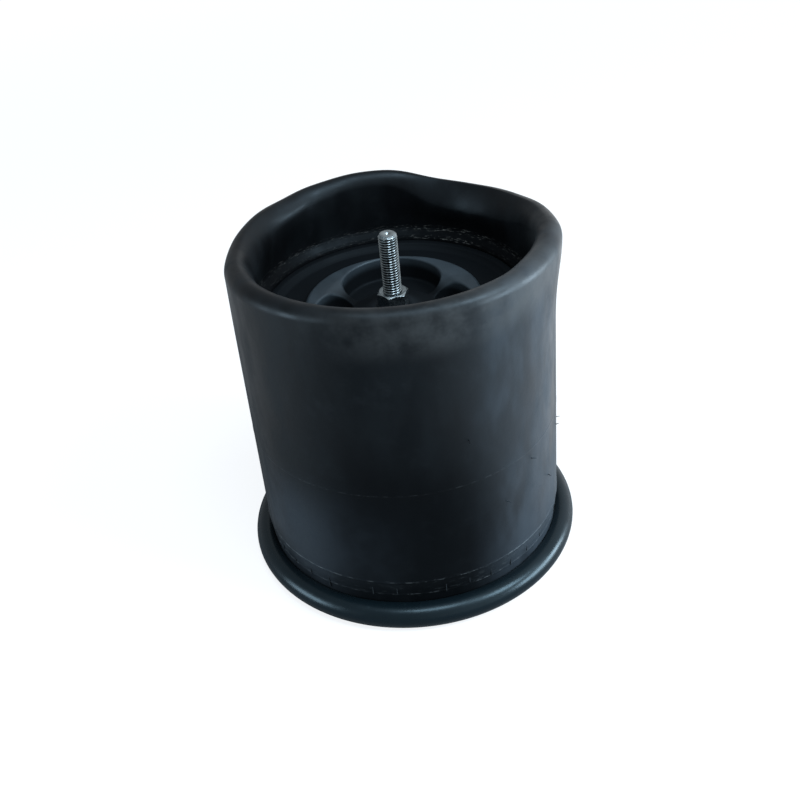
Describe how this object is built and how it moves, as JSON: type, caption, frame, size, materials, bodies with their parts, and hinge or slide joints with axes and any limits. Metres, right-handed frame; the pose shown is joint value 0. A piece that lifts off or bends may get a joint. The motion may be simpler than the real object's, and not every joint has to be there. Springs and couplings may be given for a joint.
{
  "type": "air suspension spring",
  "caption": "Rolling-lobe air spring sleeve, crimped in a round bead plate, its folded lobe closed by a spoked end plate with a central piston stud.",
  "frame": {"origin": "centre of the bead plate's outer face, which the part stands on as in the picture", "axes": "+Z along the spring's axis, from the bead plate to the piston stud; the blind nuts lie on X and the air inlet on +Y"},
  "size_m": [0.229, 0.229, 0.232],
  "materials": {
    "rubber_cover": "satin",
    "rubber_liner": "matte",
    "rubber_bumper": "matte",
    "cord_ply": "matte",
    "black_paint": "gloss",
    "bare_steel": "satin",
    "bead_wire": "satin",
    "zinc_plate": "satin",
    "moulded_nylon": "satin"
  },
  "bodies": {
    "bead_plate_body": {"bead_plate": "black_paint", "blind_nuts": "zinc_plate", "air_inlet_boss": "zinc_plate", "large_bead": "rubber_cover", "large_bead_wires": "bead_wire", "large_bead_plies": "cord_ply", "wall_cover": "rubber_cover", "wall_outer_ply": "cord_ply", "wall_inner_ply": "cord_ply", "wall_liner": "rubber_liner", "outer_roll_cover": "rubber_cover", "outer_roll_outer_ply": "cord_ply", "outer_roll_inner_ply": "cord_ply", "outer_roll_liner": "rubber_liner"},
    "lobe": {"lobe_cover": "rubber_cover", "lobe_outer_ply": "cord_ply", "lobe_inner_ply": "cord_ply", "lobe_liner": "rubber_liner"},
    "piston_end": {"inner_roll_cover": "rubber_cover", "inner_roll_outer_ply": "cord_ply", "inner_roll_inner_ply": "cord_ply", "inner_roll_liner": "rubber_liner", "small_bead": "rubber_cover", "small_bead_wires": "bead_wire", "small_bead_plies": "cord_ply", "end_plate": "moulded_nylon", "bead_clamp_plate": "bare_steel", "stud_seal": "rubber_liner", "bumper_plate": "bare_steel", "bumper": "rubber_bumper", "piston_stud": "zinc_plate", "piston_nut": "zinc_plate"}
  },
  "joints": [
    {"name": "lobe_roll", "type": "slide", "parent": "bead_plate_body", "child": "lobe", "axis": [0, 0, 1], "range_m": [-0.045, 0.025], "stiffness_N_per_m": 4000, "springref_m": 0.0072, "deforming": ["outer_roll_cover", "outer_roll_outer_ply", "outer_roll_inner_ply", "outer_roll_liner"]},
    {"name": "piston_travel", "type": "slide", "parent": "lobe", "child": "piston_end", "axis": [0, 0, 1], "range_m": [-0.045, 0.025], "deforming": ["inner_roll_cover", "inner_roll_outer_ply", "inner_roll_inner_ply", "inner_roll_liner"]}
  ],
  "couplings": [
    {"joint": "piston_travel", "follows": "lobe_roll", "ratio": 1}
  ]
}
